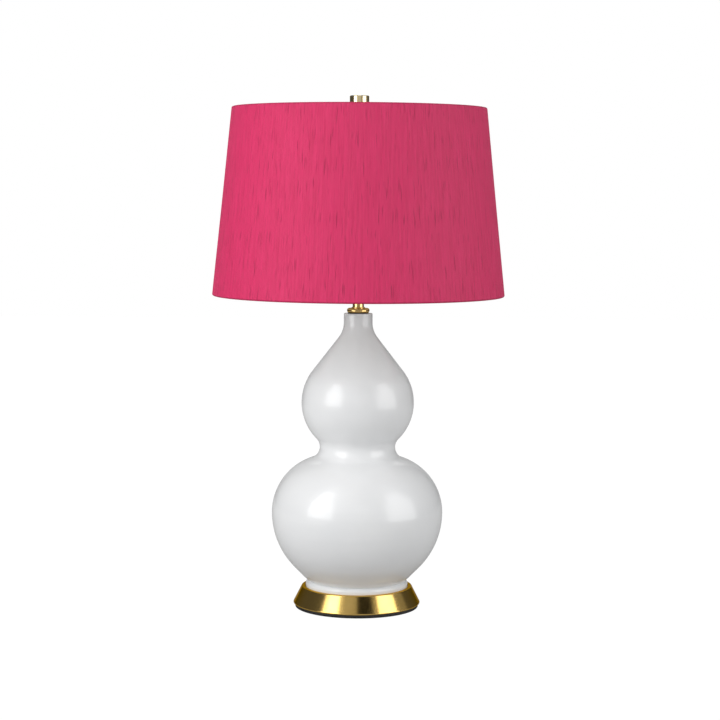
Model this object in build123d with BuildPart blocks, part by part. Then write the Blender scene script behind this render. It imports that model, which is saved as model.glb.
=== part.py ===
from build123d import *
import os
from math import acos, asin, atan2, ceil, cos, degrees, hypot, pi, radians, sin, sqrt, tan

# A table lamp: a double-gourd body of glazed ceramic on a brass plinth, with a tapered drum shade
# that a harp and a finial hold. Millimetres, +Z up, the origin on the table under the lamp's axis.
# The harp lies in the XZ plane. The switch faces the front, -Y, and the cord's bushing the back, +Y.
# Fine threads are left plain at their major diameter. The bulb's rolled thread is a row of rings.

# ---- Fits ----
loose = 0.3  # between a moving piece and what it passes
running = 0.05  # radial, between a shaft and its hole
snug = 0.1  # radial, between pieces that are assembled once
glue_line = 0.05  # between layers that are bonded or pressed together

# ---- Rod and nut: the values that other pieces are fitted to ----
rod_radius = 5.0
rod_bore_radius = 3.3
rod_below_nut = 2.3
nut_across_flats = 17.0
nut_thickness = 5.0
nut_chamfer = 0.8
lock_washer_radius = 8.5
lock_washer_thickness = 2.0
lock_washer_gap = 1.6
clamp_washer_radius = 26.0
clamp_washer_thickness = 2.0

# ---- Double-gourd body; heights are above its underside ----
body_height = 386.0
body_wall = 5.0
body_floor = 6.0
foot_radius = 71.4
foot_ring_height = 11.5
foot_ring_round = 1.5
foot_ring_width = 9.0
foot_hollow_depth = 2.5
foot_joint_radius = 69.8
foot_joint_height = 13.0
lower_belly_radius = 119.2
lower_belly_share = 0.27876  # its height, of the body's
lower_belly_height = lower_belly_share * body_height
lower_belly_fullness = 0.93685  # its arc's radius, of the largest that reaches the foot
waist_radius = 52.6
waist_share = 0.51606
waist_height = waist_share * body_height
waist_arc = 17.0
upper_belly_radius = 78.2
upper_belly_share = 0.67772
upper_belly_height = upper_belly_share * body_height
upper_belly_arc = 72.0
neck_radius = 19.9
neck_straight = 12.7  # of the neck, above the middle of its flare
neck_flare_height = body_height - neck_straight
neck_flare_arc = 34.0
neck_edge_round = 1.2
neck_hole_radius = 11.0
rod_hole_margin = 3.0

# ---- Foot of the lamp: felt, cover and plinth ----
felt_thickness = 1.5
cover_thickness = 3.0
cover_inset = 3.5
cover_edge_break = 0.4
plinth_height = 24.5
plinth_shelf_width = 5.0
plinth_spread = 12.5
plinth_wall = 1.2
plinth_corner = 1.5
plinth_recess_depth = 4.5
plinth_recess_margin = 0.6
plinth_flange_width = 9.0
foot_gasket_thickness = 1.0

# ---- Cord bushing in the back of the plinth ----
bushing_height = 11.0  # of its middle above the plinth's lower edge
bushing_bore_radius = 3.6
bushing_neck_wall = 1.4
bushing_flange_width = 2.2
bushing_flange_thickness = 1.6
bushing_flange_round = 1.0
bushing_lip_width = 1.2
bushing_lip_thickness = 2.4

# ---- Neck ----
neck_gasket_thickness = 0.8
neck_gasket_inset = 1.0
neck_cap_thickness = 6.4
neck_cap_radius = 15.6
neck_cap_round = 2.9
neck_cap_spigot = 4.0
neck_tube_length = 26.3
neck_tube_radius = 7.8
neck_tube_wall = 1.6
neck_bead_width = 1.4
neck_bead_height = 1.5

# ---- Harp saddle ----
saddle_thickness = 1.5
saddle_width = 14.0
saddle_disc_radius = 12.0
saddle_bend = 2.0
ear_offset = 28.5
ear_shoulder = 2.5
tongue_width = 6.0
tongue_height = 12.0

# ---- Harp ----
harp_height = 236.5  # from the top of the saddle to the face that the shade rests on
harp_wire_radius = 2.0
harp_straight = 37.0  # of each leg, above the ear's shoulder
harp_leg_arc = 45.0
harp_belly_offset = 57.0
harp_belly_height = 105.5  # above the top of the saddle
harp_crown_arc = 22.0
harp_crown_half = 9.0
harp_foot_height = 17.0
harp_foot_width = 9.0
harp_foot_depth = 6.0
harp_foot_round = 1.5
harp_foot_socket = 3.5
ferrule_height = 13.0
ferrule_wall = 1.0
ferrule_lip = 0.5
ferrule_lip_height = 2.0
crown_block_radius = 5.5
crown_block_height = 10.0
crown_block_below_wire = 4.0
crown_block_round = 1.5
stud_radius = 3.1
stud_height = 14.0
stud_tip = 0.6
stud_shank_radius = 2.5
stud_shank_length = 2.6
rest_radius = 11.0
rest_thickness = 1.6
rest_edge_round = 0.5

# ---- Lampholder ----
cap_hub_radius = 8.0
cap_hub_height = 8.0
cap_bowl_height = 7.0
cap_bowl_round = 3.0
cap_rim_height = 8.5
cap_wall = 0.8
set_screw_radius = 1.5
set_screw_socket = 0.8
set_screw_socket_depth = 1.5
shell_radius = 17.2
shell_wall = 0.7
shell_height = 47.0
shell_inside_cap = 7.0
shell_bead = 0.9
liner_wall = 0.8
interior_height = 17.0
interior_slot_width = 5.0
interior_slot_depth = 2.0
screw_shell_length = 24.0
screw_shell_wall = 0.45
contact_width = 5.0
contact_length = 14.0
contact_thickness = 0.6
contact_rise = 2.4
contact_hole_margin = 1.0
terminal_head_radius = 2.4
terminal_head_height = 1.4
terminal_slot_width = 0.8
terminal_below_top = 5.0
shaft_height = 12.0  # above the underside of the lampholder's interior
shaft_radius = 2.0
shaft_inside = 8.0
knob_reach = 16.5  # of the knob's face beyond the shell
knob_radius = 6.5
knob_length = 12.0
knob_face = 1.6
knob_flutes = 14
knob_flute_radius = 0.9

# ---- Light bulb ----
thread_pitch = 3.6
thread_turns = 5
thread_depth = 0.45
thread_radius = 12.7
bulb_tip_radius = 4.6
bulb_tip_height = 1.2
bulb_tip_round = 0.6
bulb_insulator_height = 4.0
bulb_insulator_radius = 11.2
bulb_cap_wall = 0.3
bulb_cap_collar = 3.6
bulb_radius = 30.0
bulb_neck_arc = 40.0
bulb_neck_length = 8.0
bulb_glass = 0.8

# ---- Shade ----
spider_drop = 12.0  # of the hub's underside below the shade's top
shade_height = 259.0
shade_top_radius = 175.5
shade_bottom_radius = 202.5
fabric_thickness = 0.6
liner_thickness = 0.8
ring_wire_radius = 1.2
hem_slack = 0.3  # of the hem round the wire, and of its tail off the liner
hem_tail = 8.0
roll_step_angle = 10.0  # of the short straight steps that the roll is drawn in
seam_width = 12.0
seam_thickness = 0.4
seam_inset = 10.0
hub_radius = 13.0
hub_thickness = 1.5
arm_radius = 1.3
arm_count = 3
arm_first_angle = 90.0
arm_weld = 1.0

# ---- Finial ----
finial_height = 26.5
finial_radius = 13.3
finial_head_height = 17.0
finial_stem_radius = 5.0
finial_flange_radius = 7.5
finial_flange_height = 2.2
finial_edge = 0.7
finial_bore_margin = 2.0

# ---- Levels, from the table up ----
cover_z = felt_thickness
plinth_z = cover_z + cover_thickness
shelf_z = plinth_z + plinth_height
recess_z = shelf_z - plinth_recess_depth
body_z = recess_z + foot_gasket_thickness
neck_z = body_z + body_height
cap_z = neck_z + neck_gasket_thickness
tube_z = cap_z + neck_cap_thickness
saddle_z = tube_z + neck_tube_length
saddle_top = saddle_z + saddle_thickness
shoulder_z = saddle_top + ear_shoulder
rest_z = saddle_top + harp_height
shade_top_z = rest_z + spider_drop
finial_z = rest_z + hub_thickness
hub_top_z = saddle_top + cap_hub_height
rim_z = hub_top_z + cap_bowl_height
shell_z = rim_z + cap_rim_height - shell_inside_cap
shell_top = shell_z + shell_height
interior_z = rim_z + cap_wall
interior_top = interior_z + interior_height
contact_top = interior_top + screw_shell_wall + contact_rise
bulb_z = contact_top + loose
insulator_z = bulb_z + bulb_tip_height
bulb_cap_z = insulator_z + bulb_insulator_height
glass_z = bulb_cap_z + thread_turns * thread_pitch

os.makedirs("parts", exist_ok=True)


def write_piece(piece, name):
    """Name a finished piece and write it to its own file."""
    piece.part.label = name
    export_step(piece.part, f"parts/{name}.step")


def on_circle(centre, radius, angle):
    """The point at `angle` degrees round a circle."""
    return (
        centre[0] + radius * cos(radians(angle)),
        centre[1] + radius * sin(radians(angle)),
    )


def s_curve(wide, narrow, rise, narrow_arc):
    """Two arcs that join a widest point to a narrowest one `rise` away, both upright there:
    the wide arc's radius, and the angle that each of the two turns."""
    step = wide - narrow
    both = (step**2 + rise**2) / (2 * step)
    return both - narrow_arc, degrees(asin(rise / both))


def upright_plane(azimuth):
    """The plane through the axis whose X runs out at `azimuth` degrees and whose Y runs up."""
    out = (cos(radians(azimuth)), sin(radians(azimuth)), 0)
    return Plane(origin=(0, 0, 0), x_dir=out, z_dir=(out[1], -out[0], 0))


# ---- Foot of the lamp ----
recess_radius = foot_radius + plinth_recess_margin
plinth_top_radius = recess_radius + plinth_shelf_width
plinth_bottom_radius = plinth_top_radius + plinth_spread
flange_radius = plinth_bottom_radius - plinth_flange_width
cover_radius = plinth_bottom_radius - cover_inset

with BuildPart() as felt_pad:
    with BuildSketch():
        Circle(cover_radius)
    extrude(amount=felt_thickness)
write_piece(felt_pad, "felt_pad")

with BuildPart() as bottom_cover:
    with BuildSketch(Plane.XY.offset(cover_z)):
        Circle(cover_radius)
    extrude(amount=cover_thickness)
    chamfer(bottom_cover.edges().group_by(Axis.Z)[0], length=cover_edge_break)
    with BuildSketch(Plane.XY.offset(plinth_z)):
        Circle(flange_radius - loose)
    extrude(amount=plinth_wall)
write_piece(bottom_cover, "bottom_cover")

flank_lean = atan2(plinth_spread, plinth_height)
bushing_neck_radius = bushing_bore_radius + bushing_neck_wall
bushing_flange_radius = bushing_neck_radius + bushing_flange_width
bushing_plane = Plane(
    origin=(0, plinth_bottom_radius - bushing_height * tan(flank_lean), plinth_z + bushing_height),
    x_dir=(1, 0, 0),
    z_dir=(0, cos(flank_lean), sin(flank_lean)),
)
with BuildPart() as base_plinth:
    with BuildSketch(Plane.XZ):
        with BuildLine():
            Polyline(
                (0, plinth_z),
                (plinth_bottom_radius, plinth_z),
                (plinth_top_radius, shelf_z),
                (recess_radius, shelf_z),
                (recess_radius, recess_z),
                (0, recess_z),
                close=True,
            )
        make_face()
        flank_corners = vertices().filter_by(lambda v: v.X > plinth_top_radius - plinth_wall)
        fillet(flank_corners, radius=plinth_corner)
        offset(amount=-plinth_wall, mode=Mode.SUBTRACT)
    revolve(axis=Axis.Z)
    with BuildSketch(Plane.XY.offset(plinth_z)):
        Circle(flange_radius)
    extrude(amount=plinth_wall, mode=Mode.SUBTRACT)
    with BuildSketch(Plane.XY.offset(plinth_z)):
        Circle(rod_radius + snug)
    extrude(amount=recess_z - plinth_z, mode=Mode.SUBTRACT)
    with BuildSketch(bushing_plane):
        Circle(bushing_neck_radius + snug)
    extrude(amount=2 * plinth_wall, both=True, mode=Mode.SUBTRACT)
write_piece(base_plinth, "base_plinth")

# The sheet curves away behind the bushing's flat flange, so the groove has room for that.
groove_width = plinth_wall + bushing_flange_radius**2 / (2 * plinth_top_radius) + snug
with BuildPart() as cord_bushing:
    with BuildSketch(bushing_plane):
        Circle(bushing_flange_radius)
    extrude(amount=bushing_flange_thickness)
    fillet(
        cord_bushing.edges().filter_by(GeomType.CIRCLE).sort_by(Axis.Y)[-1],
        radius=bushing_flange_round,
    )
    with BuildSketch(bushing_plane):
        Circle(bushing_neck_radius)
    extrude(amount=-groove_width)
    with BuildSketch(bushing_plane.offset(-groove_width)):
        Circle(bushing_neck_radius + bushing_lip_width)
    extrude(amount=-bushing_lip_thickness)
    bushing_length = bushing_flange_thickness + groove_width + bushing_lip_thickness
    with BuildSketch(bushing_plane.offset(bushing_flange_thickness)):
        Circle(bushing_bore_radius)
    extrude(amount=-bushing_length, mode=Mode.SUBTRACT)
write_piece(cord_bushing, "cord_bushing")

# ---- Rod, and the stack that clamps it under the plinth's floor ----
washer_z = recess_z - plinth_wall - clamp_washer_thickness
lock_z = washer_z - lock_washer_thickness
nut_z = lock_z - nut_thickness
rod_z = nut_z - rod_below_nut
rod_top = hub_top_z - cap_wall

with BuildPart() as clamp_washer:
    with BuildSketch(Plane.XY.offset(washer_z)):
        Circle(clamp_washer_radius)
        Circle(rod_radius + loose, mode=Mode.SUBTRACT)
    extrude(amount=clamp_washer_thickness)
write_piece(clamp_washer, "clamp_washer")

with BuildPart() as lock_washer:
    with BuildSketch(Plane.XY.offset(lock_z)):
        Circle(lock_washer_radius)
        Circle(rod_radius + loose, mode=Mode.SUBTRACT)
        with Locations((0, lock_washer_radius)):
            Rectangle(lock_washer_gap, 2 * lock_washer_radius, mode=Mode.SUBTRACT)
    extrude(amount=lock_washer_thickness)
write_piece(lock_washer, "lock_washer")

with BuildPart() as rod_nut:
    with BuildSketch(Plane.XY.offset(nut_z)):
        RegularPolygon(nut_across_flats / 2, 6, major_radius=False)
    extrude(amount=nut_thickness)
    with BuildSketch(Plane.XZ):
        nut_corner_radius = nut_across_flats / sqrt(3)
        with BuildLine():
            Polyline(
                (nut_across_flats / 2, nut_z),
                (nut_corner_radius + nut_chamfer, nut_z + nut_chamfer),
                (nut_corner_radius + nut_chamfer, nut_z),
                close=True,
            )
        make_face()
    revolve(axis=Axis.Z, mode=Mode.SUBTRACT)
    with BuildSketch(Plane.XY.offset(nut_z)):
        Circle(rod_radius + running)
    extrude(amount=nut_thickness, mode=Mode.SUBTRACT)
write_piece(rod_nut, "rod_nut")

with BuildPart() as threaded_rod:
    with BuildSketch(Plane.XY.offset(rod_z)):
        Circle(rod_radius)
        Circle(rod_bore_radius, mode=Mode.SUBTRACT)
    extrude(amount=rod_top - rod_z)
write_piece(threaded_rod, "threaded_rod")

# ---- Double-gourd body ----
belly_overhang = lower_belly_radius - foot_joint_radius
belly_rise = lower_belly_height - foot_joint_height
largest_arc = (belly_overhang**2 + belly_rise**2) / (2 * belly_overhang)
lower_belly_arc = lower_belly_fullness * largest_arc
joint_at = (foot_joint_radius, body_z + foot_joint_height)
lower_at = (lower_belly_radius - lower_belly_arc, body_z + lower_belly_height)
waist_at = (waist_radius + waist_arc, body_z + waist_height)
upper_at = (upper_belly_radius - upper_belly_arc, body_z + upper_belly_height)
flare_at = (neck_radius + neck_flare_arc, body_z + neck_flare_height)
shoulder_arc, shoulder_turn = s_curve(
    lower_belly_radius, waist_radius, waist_height - lower_belly_height, waist_arc
)
hollow_arc, hollow_turn = s_curve(
    upper_belly_radius, waist_radius, upper_belly_height - waist_height, waist_arc
)
shoulder_at = (lower_belly_radius - shoulder_arc, lower_at[1])
hollow_at = (upper_belly_radius - hollow_arc, upper_at[1])
# Under the lower belly, a straight slope from the foot's joint touches the belly's arc.
joint_step = (joint_at[0] - lower_at[0], joint_at[1] - lower_at[1])
slope_angle = degrees(
    atan2(joint_step[1], joint_step[0]) + acos(lower_belly_arc / hypot(*joint_step))
)
# Above the upper belly, a straight cone touches the belly's arc and the neck's flare.
flare_step = (flare_at[0] - upper_at[0], flare_at[1] - upper_at[1])
cone_angle = degrees(
    atan2(flare_step[1], flare_step[0])
    - acos((upper_belly_arc + neck_flare_arc) / hypot(*flare_step))
)


def gourd_outline(inset, low_z, high_z):
    """The half outline from the axis at low_z, up the gourd's side, to the axis at high_z,
    with the side `inset` inside the outer surface."""
    slope_foot = on_circle(joint_at, -inset, slope_angle)
    Polyline((0, high_z), (0, low_z), (slope_foot[0], low_z), slope_foot)
    Line(slope_foot, on_circle(lower_at, lower_belly_arc - inset, slope_angle))
    CenterArc(lower_at, lower_belly_arc - inset, slope_angle, -slope_angle)
    CenterArc(shoulder_at, shoulder_arc - inset, 0, shoulder_turn)
    CenterArc(waist_at, waist_arc + inset, 180 + shoulder_turn, -shoulder_turn)
    CenterArc(waist_at, waist_arc + inset, 180, -hollow_turn)
    CenterArc(hollow_at, hollow_arc - inset, -hollow_turn, hollow_turn)
    CenterArc(upper_at, upper_belly_arc - inset, 0, cone_angle)
    Line(
        on_circle(upper_at, upper_belly_arc - inset, cone_angle),
        on_circle(flare_at, -neck_flare_arc - inset, cone_angle),
    )
    CenterArc(flare_at, neck_flare_arc + inset, 180 + cone_angle, -cone_angle)
    neck_side = neck_radius - inset
    Polyline((neck_side, flare_at[1]), (neck_side, high_z), (0, high_z))


with BuildPart() as ceramic_body:
    with BuildSketch(Plane.XZ):
        with BuildLine():
            gourd_outline(0, body_z, neck_z)
        make_face()
        with Locations((0, body_z)):
            Rectangle(foot_radius, foot_ring_height, align=(Align.MIN, Align.MIN))
        foot_corners = vertices().filter_by(lambda v: abs(v.X - foot_radius) < glue_line)
        fillet(foot_corners, radius=foot_ring_round)
        fillet(vertices().group_by(Axis.Y)[-1].sort_by(Axis.X)[-1], radius=neck_edge_round)
        with BuildLine():
            gourd_outline(body_wall, body_z + body_floor, neck_z - body_wall)
        make_face(mode=Mode.SUBTRACT)
    revolve(axis=Axis.Z)
    with BuildSketch(Plane.XY.offset(body_z)):
        Circle(foot_radius - foot_ring_width)
    extrude(amount=foot_hollow_depth, mode=Mode.SUBTRACT)
    with BuildSketch(Plane.XY.offset(body_z)):
        Circle(rod_radius + rod_hole_margin)
    extrude(amount=body_floor, mode=Mode.SUBTRACT)
    with BuildSketch(Plane.XY.offset(neck_z)):
        Circle(neck_hole_radius)
    extrude(amount=-body_wall, mode=Mode.SUBTRACT)
write_piece(ceramic_body, "ceramic_body")

with BuildPart() as foot_gasket:
    with BuildSketch(Plane.XY.offset(recess_z)):
        Circle(foot_radius - foot_ring_round)
        Circle(foot_radius - foot_ring_width, mode=Mode.SUBTRACT)
    extrude(amount=foot_gasket_thickness)
write_piece(foot_gasket, "foot_gasket")

# ---- Neck ----
with BuildPart() as neck_gasket:
    with BuildSketch(Plane.XY.offset(neck_z)):
        Circle(neck_cap_radius - neck_gasket_inset)
        Circle(neck_hole_radius, mode=Mode.SUBTRACT)
    extrude(amount=neck_gasket_thickness)
write_piece(neck_gasket, "neck_gasket")

spigot_length = neck_cap_spigot + neck_gasket_thickness
with BuildPart() as neck_cap:
    with BuildSketch(Plane.XY.offset(cap_z)):
        Circle(neck_cap_radius)
    extrude(amount=neck_cap_thickness)
    fillet(neck_cap.edges().filter_by(GeomType.CIRCLE), radius=neck_cap_round)
    with BuildSketch(Plane.XY.offset(cap_z)):
        Circle(neck_hole_radius - loose)
    extrude(amount=-spigot_length)
    with BuildSketch(Plane.XY.offset(tube_z)):
        Circle(rod_radius + snug)
    extrude(amount=-neck_cap_thickness - spigot_length, mode=Mode.SUBTRACT)
write_piece(neck_cap, "neck_cap")

with BuildPart() as neck_tube:
    with BuildSketch(Plane.XY.offset(tube_z)):
        Circle(neck_tube_radius + neck_bead_width)
    extrude(amount=neck_bead_height)
    fillet(neck_tube.edges().sort_by(Axis.Z)[-1], radius=neck_bead_height / 2)
    with BuildSketch(Plane.XY.offset(tube_z)):
        Circle(neck_tube_radius)
    extrude(amount=neck_tube_length)
    with BuildSketch(Plane.XY.offset(tube_z)):
        Circle(neck_tube_radius - neck_tube_wall)
    extrude(amount=neck_tube_length, mode=Mode.SUBTRACT)
write_piece(neck_tube, "neck_tube")

# ---- Harp saddle: a strip with turned-up ears, each with a shoulder and a tongue ----
ear_outside = ear_offset + saddle_thickness / 2
ear_inside = ear_offset - saddle_thickness / 2
with BuildPart() as harp_saddle:
    with BuildSketch(Plane.XZ):
        with BuildLine():
            Polyline(
                (-ear_outside, shoulder_z),
                (-ear_outside, saddle_z),
                (ear_outside, saddle_z),
                (ear_outside, shoulder_z),
                (ear_inside, shoulder_z),
                (ear_inside, saddle_top),
                (-ear_inside, saddle_top),
                (-ear_inside, shoulder_z),
                close=True,
            )
        make_face()
        fillet(vertices().group_by(Axis.Y)[0], radius=saddle_bend)
    extrude(amount=saddle_width / 2, both=True)
    with BuildSketch(Plane.XY.offset(saddle_z)):
        Circle(saddle_disc_radius)
    extrude(amount=saddle_thickness)
    with BuildSketch(Plane.XY.offset(shoulder_z)):
        with Locations((ear_offset, 0), (-ear_offset, 0)):
            Rectangle(saddle_thickness, tongue_width)
    extrude(amount=tongue_height)
    with BuildSketch(Plane.XY.offset(saddle_z)):
        Circle(rod_radius + snug)
    extrude(amount=saddle_thickness, mode=Mode.SUBTRACT)
write_piece(harp_saddle, "harp_saddle")

# ---- Harp ----
wire_start_z = shoulder_z + harp_foot_height - harp_foot_socket
straight_end_z = shoulder_z + harp_straight
harp_belly_z = saddle_top + harp_belly_height
block_top = rest_z - rest_thickness
crown_z = block_top - crown_block_height + crown_block_below_wire
belly_arc, leg_turn = s_curve(
    harp_belly_offset, ear_offset, harp_belly_z - straight_end_z, harp_leg_arc
)
# The side's arc leaves the belly upright and meets the crown's arc in a common tangent.
side_step = harp_belly_offset - harp_crown_half
side_rise = crown_z - harp_crown_arc - harp_belly_z
side_arc = (side_step**2 + side_rise**2 - harp_crown_arc**2) / (2 * (side_step - harp_crown_arc))
side_turn = degrees(atan2(side_rise, side_arc - side_step))
crown_arc_at = (harp_crown_half, crown_z - harp_crown_arc)
with BuildPart() as harp_wire:
    with BuildLine(Plane.XZ) as harp_path:
        Line((ear_offset, wire_start_z), (ear_offset, straight_end_z))
        CenterArc((ear_offset + harp_leg_arc, straight_end_z), harp_leg_arc, 180, -leg_turn)
        CenterArc((harp_belly_offset - belly_arc, harp_belly_z), belly_arc, -leg_turn, leg_turn)
        CenterArc((harp_belly_offset - side_arc, harp_belly_z), side_arc, 0, side_turn)
        CenterArc(crown_arc_at, harp_crown_arc, side_turn, 90 - side_turn)
        Line((harp_crown_half, crown_z), (0, crown_z))
    with BuildSketch(Plane.XY.offset(wire_start_z)):
        with Locations((ear_offset, 0)):
            Circle(harp_wire_radius)
    sweep(path=harp_path.wire())
    mirror(about=Plane.YZ)
write_piece(harp_wire, "harp_wire")

with BuildPart() as harp_crown_block:
    with BuildSketch(Plane.XY.offset(block_top)):
        Circle(crown_block_radius)
    extrude(amount=-crown_block_height)
    fillet(harp_crown_block.edges().sort_by(Axis.Z)[0], radius=crown_block_round)
    with BuildSketch(Plane.YZ):
        with Locations((0, crown_z)):
            Circle(harp_wire_radius + glue_line)
    extrude(amount=crown_block_radius, both=True, mode=Mode.SUBTRACT)
    with BuildSketch(Plane.XY.offset(block_top)):
        Circle(stud_shank_radius + running)
    extrude(amount=-stud_shank_length - snug, mode=Mode.SUBTRACT)
write_piece(harp_crown_block, "harp_crown_block")

ferrule_inner_depth = harp_foot_depth + 2 * loose
ferrule_inner_width = harp_foot_width + 2 * loose
for side_name, side in (("left", -1), ("right", 1)):
    # The fitting on a leg's end has the wire in its top and a slot for the ear's tongue below.
    with BuildPart() as harp_foot:
        with BuildSketch(Plane.XY.offset(shoulder_z)):
            with Locations((side * ear_offset, 0)):
                RectangleRounded(harp_foot_depth, harp_foot_width, harp_foot_round)
        extrude(amount=harp_foot_height)
        with BuildSketch(Plane.XY.offset(shoulder_z)):
            with Locations((side * ear_offset, 0)):
                Rectangle(saddle_thickness + 2 * loose, tongue_width + 2 * loose)
        extrude(amount=tongue_height + loose, mode=Mode.SUBTRACT)
        with BuildSketch(Plane.XY.offset(wire_start_z)):
            with Locations((side * ear_offset, 0)):
                Circle(harp_wire_radius + glue_line)
        extrude(amount=harp_foot_socket, mode=Mode.SUBTRACT)
    write_piece(harp_foot, f"harp_foot_{side_name}")

    # The sleeve that locks the leg to its ear rests on the shoulder, and lifts up the leg.
    with BuildPart() as ferrule:
        with BuildSketch(Plane.XY.offset(shoulder_z)):
            with Locations((side * ear_offset, 0)):
                RectangleRounded(
                    ferrule_inner_depth + 2 * ferrule_wall,
                    ferrule_inner_width + 2 * ferrule_wall,
                    harp_foot_round + loose + ferrule_wall,
                )
        extrude(amount=ferrule_height)
        with BuildSketch(Plane.XY.offset(shoulder_z + ferrule_height - ferrule_lip_height)):
            with Locations((side * ear_offset, 0)):
                RectangleRounded(
                    ferrule_inner_depth + 2 * ferrule_wall + 2 * ferrule_lip,
                    ferrule_inner_width + 2 * ferrule_wall + 2 * ferrule_lip,
                    harp_foot_round + loose + ferrule_wall + ferrule_lip,
                )
        extrude(amount=ferrule_lip_height)
        with BuildSketch(Plane.XY.offset(shoulder_z)):
            with Locations((side * ear_offset, 0)):
                RectangleRounded(
                    ferrule_inner_depth, ferrule_inner_width, harp_foot_round + loose
                )
        extrude(amount=ferrule_height, mode=Mode.SUBTRACT)
    write_piece(ferrule, f"ferrule_{side_name}")

with BuildPart() as harp_stud:
    with BuildSketch(Plane.XY.offset(block_top)):
        Circle(stud_shank_radius)
    extrude(amount=-stud_shank_length)
    with BuildSketch(Plane.XY.offset(block_top)):
        Circle(stud_radius)
    extrude(amount=rest_thickness + stud_height)
    chamfer(harp_stud.edges().sort_by(Axis.Z)[-1], length=stud_tip)
write_piece(harp_stud, "harp_stud")

with BuildPart() as shade_rest:
    with BuildSketch(Plane.XY.offset(block_top)):
        Circle(rest_radius)
    extrude(amount=rest_thickness)
    fillet(shade_rest.edges().filter_by(GeomType.CIRCLE), radius=rest_edge_round)
    with BuildSketch(Plane.XY.offset(block_top)):
        Circle(stud_radius + glue_line)
    extrude(amount=rest_thickness, mode=Mode.SUBTRACT)
write_piece(shade_rest, "shade_rest")

# ---- Lampholder ----
set_screw_z = saddle_top + cap_hub_height / 2
cap_radius = shell_radius + snug + cap_wall
with BuildPart() as socket_cap:
    with BuildSketch(Plane.XZ):
        with BuildLine():
            Polyline(
                (0, saddle_top),
                (cap_hub_radius, saddle_top),
                (cap_hub_radius, hub_top_z),
                (cap_radius, rim_z),
                (cap_radius, rim_z + cap_rim_height),
                (cap_radius - cap_wall, rim_z + cap_rim_height),
                (cap_radius - cap_wall, rim_z + cap_wall),
                (cap_hub_radius - cap_wall, hub_top_z + cap_wall),
                (0, hub_top_z + cap_wall),
                close=True,
            )
        make_face()
        bowl_corner = vertices().group_by(Axis.X)[-1].sort_by(Axis.Y)[0]
        fillet(bowl_corner, radius=cap_bowl_round)
    revolve(axis=Axis.Z)
    with BuildSketch(Plane.XY.offset(saddle_top)):
        Circle(rod_radius + running)
    extrude(amount=cap_hub_height + cap_wall, mode=Mode.SUBTRACT)
    with BuildSketch(Plane.XZ):
        with Locations((0, set_screw_z)):
            Circle(set_screw_radius + running)
    extrude(amount=cap_hub_radius, mode=Mode.SUBTRACT)
write_piece(socket_cap, "socket_cap")

with BuildPart() as cap_set_screw:
    with BuildSketch(Plane.XZ.offset(rod_radius + running)):
        with Locations((0, set_screw_z)):
            Circle(set_screw_radius)
    extrude(amount=cap_hub_radius - rod_radius - running)
    with BuildSketch(Plane.XZ.offset(cap_hub_radius)):
        with Locations((0, set_screw_z)):
            RegularPolygon(set_screw_socket, 6)
    extrude(amount=-set_screw_socket_depth, mode=Mode.SUBTRACT)
write_piece(cap_set_screw, "cap_set_screw")

shaft_z = interior_z + shaft_height
with BuildPart() as socket_shell:
    with BuildSketch(Plane.XZ):
        with Locations((shell_radius, shell_z)):
            Rectangle(shell_wall, shell_height, align=(Align.MAX, Align.MIN))
        with Locations((shell_radius - shell_wall / 2, shell_top)):
            Circle(shell_bead)
    revolve(axis=Axis.Z)
    with BuildSketch(Plane.XZ):
        with Locations((0, shaft_z)):
            Circle(shaft_radius + loose)
    extrude(amount=shell_radius + shell_bead, mode=Mode.SUBTRACT)
write_piece(socket_shell, "socket_shell")

liner_radius = shell_radius - shell_wall - snug
with BuildPart() as socket_liner:
    with BuildSketch(Plane.XY.offset(interior_z)):
        Circle(liner_radius)
        Circle(liner_radius - liner_wall, mode=Mode.SUBTRACT)
    extrude(amount=shell_top - shell_bead - snug - interior_z)
    with BuildSketch(Plane.XZ):
        with Locations((0, shaft_z)):
            Circle(shaft_radius + loose)
    extrude(amount=liner_radius, mode=Mode.SUBTRACT)
write_piece(socket_liner, "socket_liner")

interior_radius = liner_radius - liner_wall - snug
terminal_seat = interior_radius - interior_slot_depth
with BuildPart() as socket_interior:
    with BuildSketch(Plane.XY.offset(interior_z)):
        Circle(interior_radius)
        with Locations((terminal_seat, 0)):
            Rectangle(
                interior_radius, interior_slot_width, align=(Align.MIN, Align.CENTER),
                mode=Mode.SUBTRACT,
            )
        with Locations((-terminal_seat, 0)):
            Rectangle(
                interior_radius, interior_slot_width, align=(Align.MAX, Align.CENTER),
                mode=Mode.SUBTRACT,
            )
    extrude(amount=interior_height)
    with BuildSketch(Plane.XZ):
        with Locations((0, shaft_z)):
            Circle(shaft_radius + running)
    extrude(amount=interior_radius, mode=Mode.SUBTRACT)
write_piece(socket_interior, "socket_interior")

with BuildPart() as terminal_screws:
    for side in (1, -1):
        with BuildSketch(Plane.YZ.offset(side * terminal_seat)):
            with Locations((0, interior_top - terminal_below_top)):
                Circle(terminal_head_radius)
        extrude(amount=side * terminal_head_height)
        with BuildSketch(Plane.YZ.offset(side * (terminal_seat + terminal_head_height))):
            with Locations((0, interior_top - terminal_below_top)):
                Rectangle(terminal_slot_width, 2 * terminal_head_radius)
        extrude(amount=-side * terminal_head_height / 2, mode=Mode.SUBTRACT)
write_piece(terminal_screws, "terminal_screws")


def thread_rings(mean_radius, wall, low_z):
    """The closed half outline of a thin wall that waves in and out once for each turn."""
    for face_radius in (mean_radius, mean_radius - wall):
        for turn in range(thread_turns):
            start = low_z + turn * thread_pitch
            middle = start + thread_pitch / 2
            SagittaArc((face_radius, start), (face_radius, middle), -thread_depth)
            SagittaArc((face_radius, middle), (face_radius, start + thread_pitch), thread_depth)
    for z in (low_z, low_z + thread_turns * thread_pitch):
        Line((mean_radius - wall, z), (mean_radius, z))


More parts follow.
